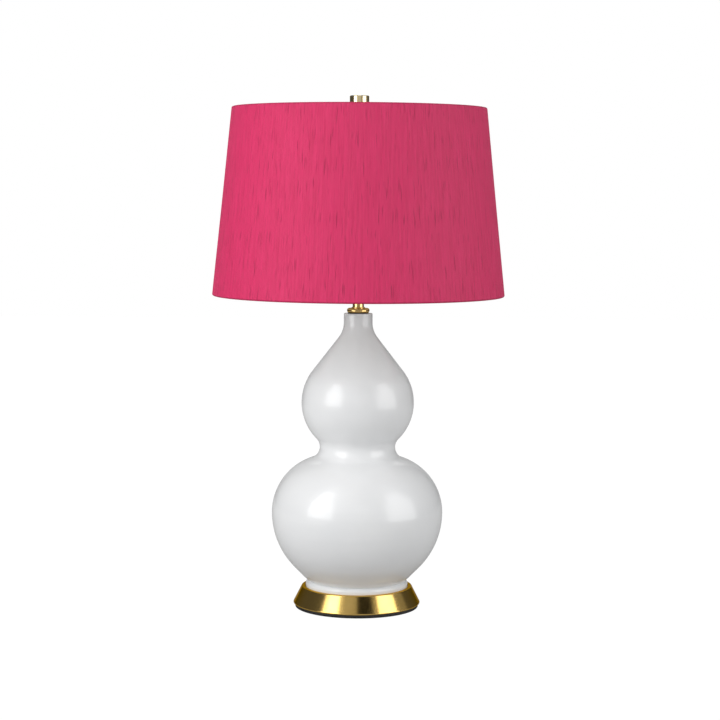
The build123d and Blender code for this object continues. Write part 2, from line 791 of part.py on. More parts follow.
# The holder's thread clears the bulb's ring for ring, so that the bulb can be drawn straight out.
screw_shell_inside = thread_radius + 2 * thread_depth + loose
screw_shell_radius = screw_shell_inside + screw_shell_wall
thread_start = interior_top + screw_shell_length - thread_turns * thread_pitch
with BuildPart() as screw_shell:
    with BuildSketch(Plane.XZ):
        with BuildLine():
            thread_rings(screw_shell_radius, screw_shell_wall, thread_start)
        make_face()
        with Locations((screw_shell_radius, interior_top)):
            Rectangle(
                screw_shell_wall, thread_start - interior_top, align=(Align.MAX, Align.MIN)
            )
            Rectangle(
                screw_shell_radius - contact_length / 2 - contact_hole_margin,
                screw_shell_wall,
                align=(Align.MAX, Align.MIN),
            )
    revolve(axis=Axis.Z)
write_piece(screw_shell, "screw_shell")

with BuildPart() as centre_contact:
    with BuildSketch(Plane.XZ):
        contact_half = contact_length / 2
        with BuildLine():
            Polyline(
                (-contact_half, interior_top),
                (-contact_half / 2, interior_top),
                (0, contact_top - contact_thickness),
                (contact_half, contact_top - contact_thickness),
                (contact_half, contact_top),
                (-contact_thickness / 2, contact_top),
                (-contact_half / 2 - contact_thickness / 2, interior_top + contact_thickness),
                (-contact_half, interior_top + contact_thickness),
                close=True,
            )
        make_face()
    extrude(amount=contact_width / 2, both=True)
write_piece(centre_contact, "centre_contact")

knob_end = shell_radius + knob_reach
with BuildPart() as switch_shaft:
    with BuildSketch(Plane.XZ.offset(shaft_inside)):
        with Locations((0, shaft_z)):
            Circle(shaft_radius)
    extrude(amount=knob_end - knob_face - shaft_inside)
write_piece(switch_shaft, "switch_shaft")

with BuildPart() as turn_knob:
    with BuildSketch(Plane.XZ.offset(knob_end)):
        with Locations((0, shaft_z)):
            Circle(knob_radius)
            with PolarLocations(knob_radius + knob_flute_radius / 3, knob_flutes):
                Circle(knob_flute_radius, mode=Mode.SUBTRACT)
    extrude(amount=-knob_length)
    with BuildSketch(Plane.XZ.offset(knob_end - knob_face)):
        with Locations((0, shaft_z)):
            Circle(shaft_radius + glue_line)
    extrude(amount=-knob_length + knob_face, mode=Mode.SUBTRACT)
write_piece(turn_knob, "turn_knob")

# ---- Light bulb ----
with BuildPart() as bulb_tip:
    with BuildSketch(Plane.XY.offset(bulb_z)):
        Circle(bulb_tip_radius)
    extrude(amount=bulb_tip_height)
    fillet(bulb_tip.edges().sort_by(Axis.Z)[0], radius=bulb_tip_round)
write_piece(bulb_tip, "bulb_tip")

with BuildPart() as bulb_insulator:
    with BuildSketch(Plane.XZ):
        with BuildLine():
            Polyline(
                (0, insulator_z),
                (bulb_tip_radius, insulator_z),
                (bulb_insulator_radius, bulb_cap_z),
                (0, bulb_cap_z),
                close=True,
            )
        make_face()
    revolve(axis=Axis.Z)
write_piece(bulb_insulator, "bulb_insulator")

with BuildPart() as bulb_screw_cap:
    with BuildSketch(Plane.XZ):
        with BuildLine():
            thread_rings(thread_radius, bulb_cap_wall, bulb_cap_z)
        make_face()
        with Locations((thread_radius, glass_z)):
            Rectangle(bulb_cap_wall, bulb_cap_collar, align=(Align.MAX, Align.MIN))
        with Locations((thread_radius, bulb_cap_z)):
            Rectangle(
                thread_radius - bulb_insulator_radius + bulb_cap_wall,
                bulb_cap_wall,
                align=(Align.MAX, Align.MIN),
            )
    revolve(axis=Axis.Z)
write_piece(bulb_screw_cap, "bulb_screw_cap")

bulb_neck_radius = thread_radius - bulb_cap_wall - glue_line
neck_sweep = bulb_neck_radius + bulb_neck_arc
neck_rise = sqrt((bulb_radius + bulb_neck_arc) ** 2 - neck_sweep**2)
neck_turn = degrees(atan2(neck_rise, neck_sweep))
sweep_z = glass_z + bulb_neck_length
globe_z = sweep_z + neck_rise


def bulb_outline(inset):
    """The half outline of the glass, `inset` inside its outer surface: neck, sweep and globe."""
    neck = bulb_neck_radius - inset
    Polyline((0, globe_z + bulb_radius - inset), (0, glass_z), (neck, glass_z), (neck, sweep_z))
    CenterArc((neck_sweep, sweep_z), bulb_neck_arc + inset, 180, -neck_turn)
    CenterArc((0, globe_z), bulb_radius - inset, -neck_turn, 90 + neck_turn)


with BuildPart() as bulb_envelope:
    with BuildSketch(Plane.XZ):
        with BuildLine():
            bulb_outline(0)
        make_face()
        with BuildLine():
            bulb_outline(bulb_glass)
        make_face(mode=Mode.SUBTRACT)
    revolve(axis=Axis.Z)
write_piece(bulb_envelope, "bulb_envelope")

# ---- Shade: fabric bonded to a stiff liner, turned over a wire ring at each edge ----
taper = atan2(shade_bottom_radius - shade_top_radius, shade_height)
hem_inner_radius = ring_wire_radius + hem_slack
hem_radius = hem_inner_radius + fabric_thickness


def on_wall(down, depth):
    """The point `down` the slant from the shade's top edge and `depth` inside its outer face."""
    return (
        shade_top_radius + down * sin(taper) - depth * cos(taper),
        shade_top_z - down * cos(taper) - depth * sin(taper),
    )


top_ring_down = hem_radius * (1 - sin(taper)) / cos(taper)
bottom_ring_down = (shade_height - hem_radius * (1 + sin(taper))) / cos(taper)
top_ring_at = on_wall(top_ring_down, hem_radius)
bottom_ring_at = on_wall(bottom_ring_down, hem_radius)
liner_depth = fabric_thickness + glue_line
liner_back = liner_depth + liner_thickness
tail_depth = liner_back + hem_slack
tail_back = tail_depth + fabric_thickness


def wall_band(down_from, down_to, depth_from, depth_to):
    """The closed half outline of a band of the shade's wall."""
    Polyline(
        on_wall(down_from, depth_from),
        on_wall(down_to, depth_from),
        on_wall(down_to, depth_to),
        on_wall(down_from, depth_to),
        close=True,
    )


with BuildPart() as shade_fabric:
    with BuildSketch(Plane.XZ):
        with BuildLine():
            wall_band(top_ring_down, bottom_ring_down, 0, fabric_thickness)
        make_face()
    revolve(axis=Axis.Z)
write_piece(shade_fabric, "shade_fabric")

liner_start = hem_radius + hem_slack
with BuildPart() as shade_liner:
    with BuildSketch(Plane.XZ):
        with BuildLine():
            wall_band(
                top_ring_down + liner_start,
                bottom_ring_down - liner_start,
                liner_depth,
                liner_back,
            )
        make_face()
    revolve(axis=Axis.Z)
write_piece(shade_liner, "shade_liner")


def wire_ring(ring_at):
    """A ring of wire round the lamp's axis."""
    with BuildPart() as ring:
        with BuildSketch(Plane.XZ):
            with Locations(ring_at):
                Circle(ring_wire_radius)
        revolve(axis=Axis.Z)
    return ring


def hem(ring_down, inwards):
    """The fabric's turned edge: round the wire, then flat on the liner's inside. `inwards` is 1
    where the shade's wall lies below the ring, and -1 where it lies above."""

    def round_wire(radius, turn):
        """The point `radius` from the wire's middle, `turn` radians on from the outer face."""
        return on_wall(
            ring_down - inwards * radius * sin(turn), hem_radius - radius * cos(turn)
        )

    def wrap(radius, start, end):
        """Points round the wire from one turn to another, a short step apart."""
        steps = ceil(abs(end - start) / radians(roll_step_angle))
        step = (end - start) / steps
        return [round_wire(radius, start + step * number) for number in range(steps + 1)]

    tail_down = ring_down + inwards * (hem_radius + hem_tail)
    outer_turn = 2 * pi - acos((hem_radius - tail_back) / hem_radius)
    inner_turn = 2 * pi - acos((hem_radius - tail_depth) / hem_inner_radius)
    with BuildPart() as turned_edge:
        with BuildSketch(Plane.XZ):
            with BuildLine():
                Polyline(
                    *wrap(hem_radius, 0, outer_turn),
                    on_wall(tail_down, tail_back),
                    on_wall(tail_down, tail_depth),
                    *wrap(hem_inner_radius, inner_turn, 0),
                    close=True,
                )
            make_face()
        revolve(axis=Axis.Z)
    return turned_edge


def arm_rods(radius):
    """Rods along the spider's arms, from just inside the hub's edge to the top ring's middle."""
    with BuildPart() as rods:
        for arm in range(arm_count):
            upright = upright_plane(arm_first_angle + arm * 360 / arm_count)
            start = upright.from_local_coords((hub_radius - arm_weld, rest_z + hub_thickness / 2))
            end = upright.from_local_coords(top_ring_at)
            with BuildSketch(Plane(origin=start, z_dir=end - start)):
                Circle(radius)
            extrude(amount=(end - start).length)
    return rods


top_ring = wire_ring(top_ring_at)
write_piece(top_ring, "top_ring")

bottom_ring = wire_ring(bottom_ring_at)
write_piece(bottom_ring, "bottom_ring")

bottom_hem = hem(bottom_ring_down, -1)
write_piece(bottom_hem, "bottom_hem")

top_hem_ring = hem(top_ring_down, 1)
arm_notches = arm_rods(arm_radius + loose)
with BuildPart() as top_hem:
    add(top_hem_ring.part)
    add(arm_notches.part, mode=Mode.SUBTRACT)
write_piece(top_hem, "top_hem")

slant_length = shade_height / cos(taper)
seam_arc = degrees(2 * seam_width / (shade_top_radius + shade_bottom_radius))
with BuildPart() as shade_seam:
    with BuildSketch(upright_plane(90 - seam_arc / 2)):
        with BuildLine():
            wall_band(seam_inset, slant_length - seam_inset, -seam_thickness, -glue_line)
        make_face()
    revolve(axis=Axis.Z, revolution_arc=seam_arc)
write_piece(shade_seam, "shade_seam")

with BuildPart() as spider_hub:
    with BuildSketch(Plane.XY.offset(rest_z)):
        Circle(hub_radius)
        Circle(stud_radius + loose, mode=Mode.SUBTRACT)
    extrude(amount=hub_thickness)
write_piece(spider_hub, "spider_hub")

full_arms = arm_rods(arm_radius)
with BuildPart() as spider_arms:
    add(full_arms.part)
    add(top_ring.part, mode=Mode.SUBTRACT)
    with BuildSketch(Plane.XY.offset(rest_z)):
        Circle(hub_radius)
    extrude(amount=2 * arm_radius, both=True, mode=Mode.SUBTRACT)
write_piece(spider_arms, "spider_arms")

# ---- Finial ----
with BuildPart() as finial:
    with BuildSketch(Plane.XY.offset(finial_z + finial_height)):
        Circle(finial_radius)
    extrude(amount=-finial_head_height)
    chamfer(finial.edges().filter_by(GeomType.CIRCLE), length=finial_edge)
    with BuildSketch(Plane.XY.offset(finial_z)):
        Circle(finial_stem_radius)
    extrude(amount=finial_height - finial_head_height)
    with BuildSketch(Plane.XY.offset(finial_z)):
        Circle(finial_flange_radius)
    extrude(amount=finial_flange_height)
    with BuildSketch(Plane.XY.offset(finial_z)):
        Circle(stud_radius + loose)
    extrude(amount=stud_height - hub_thickness + finial_bore_margin, mode=Mode.SUBTRACT)
write_piece(finial, "finial")
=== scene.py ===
# %% [markdown]
# # A double-gourd table lamp
#
# The lamp's solids come ready-made from its CAD model: the brass plinth, the rod and its stack, the
# harp, the lampholder, the bulb and the finial. This lesson loads them as a fixed frame, gives each
# one a finish, and makes the pieces that a solid can't show well: the glazed gourd, the silk shade
# with its turned edges, and the felt under the foot. Then it sets up a small photo studio.

# %% Load the frame
from math import acos, asin, atan2, ceil, cos, degrees, hypot, pi, radians, sin

import bmesh
import bpy
from mathutils import Matrix


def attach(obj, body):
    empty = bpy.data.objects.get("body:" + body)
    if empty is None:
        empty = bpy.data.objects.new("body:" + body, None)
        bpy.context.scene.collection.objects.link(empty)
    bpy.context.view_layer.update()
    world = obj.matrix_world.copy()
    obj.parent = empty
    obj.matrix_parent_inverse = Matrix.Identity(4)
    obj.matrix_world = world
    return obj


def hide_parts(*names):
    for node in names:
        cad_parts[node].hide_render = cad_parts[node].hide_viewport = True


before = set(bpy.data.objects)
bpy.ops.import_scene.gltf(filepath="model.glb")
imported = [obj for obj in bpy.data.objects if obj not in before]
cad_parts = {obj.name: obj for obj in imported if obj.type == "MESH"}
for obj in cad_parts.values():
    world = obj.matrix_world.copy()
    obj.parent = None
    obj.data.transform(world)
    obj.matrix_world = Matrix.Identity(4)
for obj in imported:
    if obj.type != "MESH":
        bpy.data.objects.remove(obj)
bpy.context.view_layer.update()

# %% [markdown]
# ## The camera
#
# The photograph was taken from about 2.7 m in front with a long lens, a little above the shade's
# lower edge and tilted slightly down. The shade's rims curve by just that much. A wider lens from
# nearer would match the outline too, but it would bend the rims far more, so the distance matters.

# %% Camera
camera = bpy.data.objects.new("camera", bpy.data.cameras.new("camera"))
bpy.context.scene.collection.objects.link(camera)
bpy.context.scene.camera = camera
camera_at = (0.0028, -2.702, 0.585)
camera_pitch = 5.05  # degrees down from level
camera_roll = 0.35  # degrees, as the photograph leans a little
camera.location = camera_at
tilt = Matrix.Rotation(radians(90 - camera_pitch), 4, "X")
camera.rotation_euler = (tilt @ Matrix.Rotation(radians(camera_roll), 4, "Z")).to_euler()
camera.data.sensor_width = 36
camera.data.lens = 97.5
print("camera at", camera_at, "with a lens of", camera.data.lens, "mm")

# %% [markdown]
# ## Turned shapes
#
# Most of the lamp is round, so its pieces are drawn as half an outline and spun about the axis. The
# outlines are made of arcs that run into each other without a corner, as on a potter's template.
# Drawing the arcs with a formula keeps the curve smooth, which a glossy glaze shows at once.

# %% Outlines
mm = 0.001
arc_step = 3.0  # degrees between two points of an arc


def on_circle(centre, radius, angle):
    """The point at `angle` degrees round a circle, in millimetres."""
    return (
        centre[0] + radius * cos(radians(angle)),
        centre[1] + radius * sin(radians(angle)),
    )


def arc(centre, radius, start, turn, step=arc_step):
    """Points along an arc from `start` on by `turn`, in degrees."""
    count = max(1, ceil(abs(turn) / step))
    return [on_circle(centre, radius, start + turn * i / count) for i in range(count + 1)]


def straight(start, end, pieces):
    """Points along a straight run, both ends included."""
    return [
        (
            start[0] + (end[0] - start[0]) * i / pieces,
            start[1] + (end[1] - start[1]) * i / pieces,
        )
        for i in range(pieces + 1)
    ]


print("an arc of a quarter turn has", len(arc((0, 0), 1, 0, 90)), "points")

# %% [markdown]
# ## From an outline to a piece
#
# A bmesh is Blender's mesh for scripts. An outline drawn in it is spun about the lamp's axis, its
# doubled points are merged, and its faces are turned outwards. Smooth shading hides the facets, and
# the edges over a certain angle are marked sharp, so that rims and corners stay crisp.

# %% Spinning
doubles = 1e-6  # metres between two points that are merged
sharp_angle = 40  # degrees between two faces over which their edge stays sharp


def draw_line(points, closed=False):
    """A bmesh of the line through points, given in metres."""
    shape = bmesh.new()
    corners = [shape.verts.new(point) for point in points]
    for pair in zip(corners, corners[1:] + (corners[:1] if closed else [])):
        shape.edges.new(pair)
    return shape


def spin_round(shape, turn, steps):
    """Spin all that a bmesh holds about the lamp's axis. A full turn closes on itself."""
    bmesh.ops.spin(
        shape,
        geom=shape.verts[:] + shape.edges[:] + shape.faces[:],
        cent=(0, 0, 0),
        axis=(0, 0, 1),
        dvec=(0, 0, 0),
        angle=turn,
        steps=steps,
        use_merge=turn == 2 * pi,
    )
    bmesh.ops.remove_doubles(shape, verts=shape.verts, dist=doubles)
    bmesh.ops.recalc_face_normals(shape, faces=shape.faces)


def finish_piece(name, shape):
    """A smooth-shaded object from a bmesh, with its sharp edges marked."""
    for edge in shape.edges:
        if len(edge.link_faces) == 2:
            edge.smooth = edge.calc_face_angle(0) < radians(sharp_angle)
    for face in shape.faces:
        face.smooth = True
    mesh = bpy.data.meshes.new(name)
    shape.to_mesh(mesh)
    shape.free()
    piece = bpy.data.objects.new(name, mesh)
    bpy.context.scene.collection.objects.link(piece)
    print(name, "faces:", len(mesh.polygons))
    return piece


def turned(name, outline, closed=False, steps=144):
    """A piece turned from half an outline of points (radius, height), in millimetres."""
    shape = draw_line([(radius * mm, 0, height * mm) for radius, height in outline], closed)
    spin_round(shape, 2 * pi, steps)
    return finish_piece(name, shape)


def stand_for(piece, node, body):
    """Let a piece stand for a CAD node, whose solid is hidden, and move with a body."""
    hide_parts(node)
    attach(piece, body)


# %% [markdown]
# ## The gourd
#
# The body is slip-cast stoneware: two round bellies, a waist between them, a cone that sweeps up
# into the neck, and a rolled foot ring. The outline repeats the solid's own construction: a straight
# slope touches the lower belly's arc, S-curves join bellies and waist, and a straight cone touches
# the neck's flare. Sculpting it would lose the tangents that make the highlights run clean.

# %% Levels and sizes of the gourd
body_z = 25.5
neck_z = 411.5
body_height = neck_z - body_z
body_wall = 5.0
body_floor = 6.0
foot_radius = 71.4
foot_ring_height = 11.5
foot_ring_width = 9.0
foot_hollow_depth = 2.5
foot_joint_radius = 69.8
foot_joint_height = 13.0
lower_belly_radius = 119.2
lower_belly_height = 0.27876 * body_height
lower_belly_arc = 108.0
waist_radius = 52.6
waist_height = 0.51606 * body_height
waist_arc = 17.0
upper_belly_radius = 78.2
upper_belly_height = 0.67772 * body_height
upper_belly_arc = 72.0
neck_radius = 19.9
neck_flare_height = body_height - 12.7
neck_flare_arc = 34.0
neck_edge_round = 1.2
neck_hole_radius = 11.0


def s_curve(wide, narrow, rise, narrow_arc):
    """The wide arc's radius and the turn of the two arcs that join a widest point to a narrowest."""
    step = wide - narrow
    both = (step**2 + rise**2) / (2 * step)
    return both - narrow_arc, degrees(asin(rise / both))


joint_at = (foot_joint_radius, body_z + foot_joint_height)
lower_at = (lower_belly_radius - lower_belly_arc, body_z + lower_belly_height)
waist_at = (waist_radius + waist_arc, body_z + waist_height)
upper_at = (upper_belly_radius - upper_belly_arc, body_z + upper_belly_height)
flare_at = (neck_radius + neck_flare_arc, body_z + neck_flare_height)
shoulder_arc, shoulder_turn = s_curve(
    lower_belly_radius, waist_radius, waist_height - lower_belly_height, waist_arc
)
hollow_arc, hollow_turn = s_curve(
    upper_belly_radius, waist_radius, upper_belly_height - waist_height, waist_arc
)
joint_step = (joint_at[0] - lower_at[0], joint_at[1] - lower_at[1])
slope_angle = degrees(
    atan2(joint_step[1], joint_step[0]) + acos(lower_belly_arc / hypot(*joint_step))
)
flare_step = (flare_at[0] - upper_at[0], flare_at[1] - upper_at[1])
cone_angle = degrees(
    atan2(flare_step[1], flare_step[0])
    - acos((upper_belly_arc + neck_flare_arc) / hypot(*flare_step))
)
print("slope", round(slope_angle, 1), "cone", round(cone_angle, 1), "degrees")


# %% Gourd
def gourd_side(inset):
    """The gourd's side from the foot's joint up to the neck's flare, `inset` under its surface."""
    points = straight(
        on_circle(joint_at, -inset, slope_angle),
        on_circle(lower_at, lower_belly_arc - inset, slope_angle),
        4,
    )
    points += arc(lower_at, lower_belly_arc - inset, slope_angle, -slope_angle)
    shoulder_at = (lower_belly_radius - shoulder_arc, lower_at[1])
    points += arc(shoulder_at, shoulder_arc - inset, 0, shoulder_turn)
    points += arc(waist_at, waist_arc + inset, 180 + shoulder_turn, -shoulder_turn)
    points += arc(waist_at, waist_arc + inset, 180, -hollow_turn)
    hollow_at = (upper_belly_radius - hollow_arc, upper_at[1])
    points += arc(hollow_at, hollow_arc - inset, -hollow_turn, hollow_turn)
    points += arc(upper_at, upper_belly_arc - inset, 0, cone_angle)
    points += straight(
        on_circle(upper_at, upper_belly_arc - inset, cone_angle),
        on_circle(flare_at, -neck_flare_arc - inset, cone_angle),
        6,
    )
    points += arc(flare_at, neck_flare_arc + inset, 180 + cone_angle, -cone_angle)
    return points


floor_hole_radius = 8.0
hollow_z = body_z + foot_hollow_depth
hollow_bevel = 1.2
ring_inside = foot_radius - foot_ring_width
ring_bevel = 0.8
ring_under_round = 3.4
ring_round = 4.6  # softer than the solid's
ring_top = body_z + foot_ring_height
crease_depth = 2.4
crease_rise = 0.1
foot = [
    (floor_hole_radius, hollow_z),
    (ring_inside - hollow_bevel, hollow_z),
    (ring_inside, hollow_z - hollow_bevel),
    (ring_inside, body_z + ring_bevel),
    (ring_inside + ring_bevel, body_z),
]
under_at = (foot_radius - ring_under_round, body_z + ring_under_round)
foot += arc(under_at, ring_under_round, -90, 90, step=10)
foot += arc((foot_radius - ring_round, ring_top - ring_round), ring_round, 0, 80, step=8)
foot += [(foot_joint_radius - crease_depth, ring_top + crease_rise)]
neck_edge_at = (neck_radius - neck_edge_round, neck_z - neck_edge_round)
neck = arc(neck_edge_at, neck_edge_round, 0, 90, step=15)
neck += [(neck_hole_radius, neck_z), (neck_hole_radius, neck_z - body_wall)]
inside = list(reversed(gourd_side(body_wall)[::3]))  # every third point is enough inside
inside += [(floor_hole_radius, body_z + body_floor)]
gourd = turned("gourd", foot + gourd_side(0)[1:] + neck + inside, closed=True, steps=192)
stand_for(gourd, "ceramic_body", "lamp_base")

# %% [markdown]
# ## The shade
#
# The shade is slubbed silk glued to a stiff white liner, and rolled over a wire ring at each rim.
# It could be one thick cone, but the rolled rims catch their own thin highlight and shadow, so the
# silk, its two hems, the liner and the lapped seam at the back are separate pieces. The hems also
# take a darker copy of the silk, as painted shade along the rims. All of them are placed by how far
# down the slanted wall they lie, and how deep inside its outer face.

# %% Sizes of the shade
shade_top_z = 695.0
shade_height = 259.0
shade_top_radius = 175.5
shade_bottom_radius = 202.5
fabric_thickness = 0.6
liner_thickness = 0.8
glue_line = 0.05
ring_wire_radius = 1.2
hem_slack = 0.3
hem_tail = 8.0
hem_inner_radius = ring_wire_radius + hem_slack
hem_radius = hem_inner_radius + fabric_thickness
taper = atan2(shade_bottom_radius - shade_top_radius, shade_height)
slant_length = shade_height / cos(taper)
top_ring_down = hem_radius * (1 - sin(taper)) / cos(taper)
bottom_ring_down = (shade_height - hem_radius * (1 + sin(taper))) / cos(taper)
liner_depth = fabric_thickness + glue_line
liner_back = liner_depth + liner_thickness
tail_depth = liner_back + hem_slack
shade_steps = 240


def on_wall(down, depth):
    """The point `down` the slant from the shade's top edge and `depth` inside its outer face."""
    return (
        shade_top_radius + down * sin(taper) - depth * cos(taper),
        shade_top_z - down * cos(taper) - depth * sin(taper),
    )


def wall_band(down_from, down_to, depth_from, depth_to, pieces):
    """The closed outline of a band of the shade's wall."""
    outer = straight(on_wall(down_from, depth_from), on_wall(down_to, depth_from), pieces)
    inner = straight(on_wall(down_to, depth_to), on_wall(down_from, depth_to), pieces)
    return outer + inner


print("taper", round(degrees(taper), 2), "degrees, slant", round(slant_length, 1), "mm")

# %% [markdown]
# ## Silk and liner
#
# A real drum isn't quite a cone: between the rings its wall pulls in by a fraction of a millimetre,
# a little unevenly. A cloth simulation would show no more, because the silk is glued to its liner,
# so a sine along the wall and two slow ones round it move the points of both.

# %% Silk and liner
waver = 0.25  # millimetres by which the silk sinks between its rings
folds = 11
slow_folds = 4
wall_steps = 16


def settle(piece):
    """Pull the wall in a little between the rings, unevenly round the shade."""
    top_z = shade_top_z * mm
    for vertex in piece.data.vertices:
        x, y, z = vertex.co
        along = min(1, max(0, (top_z - z) / (shade_height * mm)))
        azimuth = atan2(x, -y)
        ripple = 0.6 + 0.25 * sin(folds * azimuth) + 0.15 * sin(slow_folds * azimuth + 2)
        sink = waver * mm * sin(pi * along) ** 2 * ripple
        shrink = 1 - sink / hypot(x, y)
        vertex.co = (x * shrink, y * shrink, z)


silk = turned(
    "silk",
    wall_band(top_ring_down, bottom_ring_down, 0, fabric_thickness, wall_steps),
    closed=True,
    steps=shade_steps,
)
settle(silk)
liner = turned(
    "liner",
    wall_band(
        top_ring_down + hem_radius + hem_slack,
        bottom_ring_down - hem_radius - hem_slack,
        liner_depth,
        liner_back,
        wall_steps,
    ),
    closed=True,
    steps=shade_steps,
)
settle(liner)

# %% [markdown]
# ## Rolled hems
#
# At each rim the silk goes round the wire ring and then lies flat on the liner's inside. Its outline
# is one closed line: out round the wire, along the tail, and back at the fabric's thickness. It is
# turned like the rest, because a bevelled edge would have neither the roll nor the tail inside.


# %% Rolled hems
def hem_outline(ring_down, inwards, steps=28):
    """The silk's turned edge: round the wire, then flat on the liner's inside."""

    def round_wire(radius, turn):
        return on_wall(ring_down - inwards * radius * sin(turn), hem_radius - radius * cos(turn))

    tail_back = tail_depth + fabric_thickness
    tail_down = ring_down + inwards * (hem_radius + hem_tail)
    outer_turn = 2 * pi - acos((hem_radius - tail_back) / hem_radius)
    inner_turn = 2 * pi - acos((hem_radius - tail_depth) / hem_inner_radius)
    outer = [round_wire(hem_radius, outer_turn * i / steps) for i in range(steps + 1)]
    inner = [round_wire(hem_inner_radius, inner_turn * i / steps) for i in range(steps, -1, -1)]
    return outer + [on_wall(tail_down, tail_back), on_wall(tail_down, tail_depth)] + inner


top_roll = turned("top_roll", hem_outline(top_ring_down, 1), closed=True, steps=shade_steps)
bottom_roll = turned(
    "bottom_roll", hem_outline(bottom_ring_down, -1), closed=True, steps=shade_steps
)

# %% [markdown]
# ## The lapped seam
#
# The silk's two ends overlap at the back, and the upper one stands out by its own thickness. One
# upright strip of the wall is drawn as a face, turned to the back, and spun through a few degrees.
# A line in the bump would vanish at the shade's edge, where a real seam breaks the outline.

# %% Lapped seam at the back
seam_width = 12.0
seam_thickness = 0.4
seam_inset = 10.0
seam_turn = 2 * seam_width / (shade_top_radius + shade_bottom_radius)
seam_side = wall_band(seam_inset, slant_length - seam_inset, -seam_thickness, -glue_line, 1)
strip = bmesh.new()
strip.faces.new([strip.verts.new((radius * mm, 0, height * mm)) for radius, height in seam_side])
bmesh.ops.rotate(
    strip,
    verts=strip.verts,
    cent=(0, 0, 0),
    matrix=Matrix.Rotation(pi / 2 - seam_turn / 2, 3, "Z"),
)
spin_round(strip, seam_turn, 6)
seam = finish_piece("seam", strip)

# %% [markdown]
# ## The shade's place in the frame
#
# Each new piece stands for a solid of the frame and moves with the shade's body.

# %% The shade in the frame
for piece, node, slot in (
    (silk, "shade_fabric", "pink_silk"),
    (liner, "shade_liner", "white_liner"),
    (top_roll, "top_hem", "pink_silk"),
    (bottom_roll, "bottom_hem", "pink_silk"),
    (seam, "shade_seam", "pink_silk"),
):
    stand_for(piece, node, "shade")

# %% [markdown]
# ## The felt
#
# A disc of black felt is glued under the cover so that the lamp slides on a table without marking
# it. Felt has no crisp corner: its cut edge is slightly rounded and fuzzy. The disc is turned with a
# small round, and its fuzz is left to the finish.

# %% Felt
felt_radius = 86.0
felt_thickness = 1.5
felt_round = 0.5
flat_radius = felt_radius - felt_round
felt_side = [(0, 0), (flat_radius, 0)]
felt_side += arc((flat_radius, felt_round), felt_round, -90, 90, step=15)
felt_side += arc((flat_radius, felt_thickness - felt_round), felt_round, 0, 90, step=15)
felt_side += [(0, felt_thickness)]
felt = turned("felt", felt_side)
stand_for(felt, "felt_pad", "lamp_base")

# %% [markdown]
# ## Finishes as expressions
#
# A finish is a small graph of nodes. To keep it readable, a wrapper stands for one socket, and
# ordinary arithmetic on it adds the Math nodes. Everything else comes from one method that takes a
# node's type, its settings and its inputs, so each finish below reads like a recipe. A graph can
# belong to a material or to the world, and only a finish knows about the shader of a surface.


# %% Values and graphs
class Value:
    """One output socket. Arithmetic on it adds Math nodes."""

    def __init__(self, graph, socket):
        self.graph = graph
        self.socket = socket

    def __add__(self, other):
        return self.graph.math("ADD", self, other)

    __radd__ = __add__

    def __sub__(self, other):
        return self.graph.math("SUBTRACT", self, other)

    def __rsub__(self, other):
        return self.graph.math("SUBTRACT", other, self)

    def __mul__(self, other):
        return self.graph.math("MULTIPLY", self, other)

    __rmul__ = __mul__


class Graph:
    """The node tree of a material or a world."""

    def __init__(self, owner):
        owner.use_nodes = True
        self.owner = owner
        self.tree = owner.node_tree

    def node(self, kind, settings, inputs, *outputs):
        """A new node with its settings and inputs. Gives its first output, or those asked for."""
        made = self.tree.nodes.new(kind)
        for setting, value in settings.items():
            setattr(made, setting, value)
        for key, value in inputs.items():
            self.feed(made.inputs[key], value)
        values = [Value(self, made.outputs[output]) for output in outputs or (0,)]
        return values if len(values) > 1 else values[0]

    def feed(self, socket, value):
        """Link a value to a socket, or write a constant on it."""
        if isinstance(value, Value):
            self.tree.links.new(value.socket, socket)
        elif hasattr(value, "__len__") and len(value) == 3 and len(socket.default_value) == 4:
            socket.default_value = (*value, 1)
        else:
            socket.default_value = value

    def math(self, operation, *numbers):
        """A Math node, for one number or two."""
        return self.node("ShaderNodeMath", {"operation": operation}, dict(enumerate(numbers)))


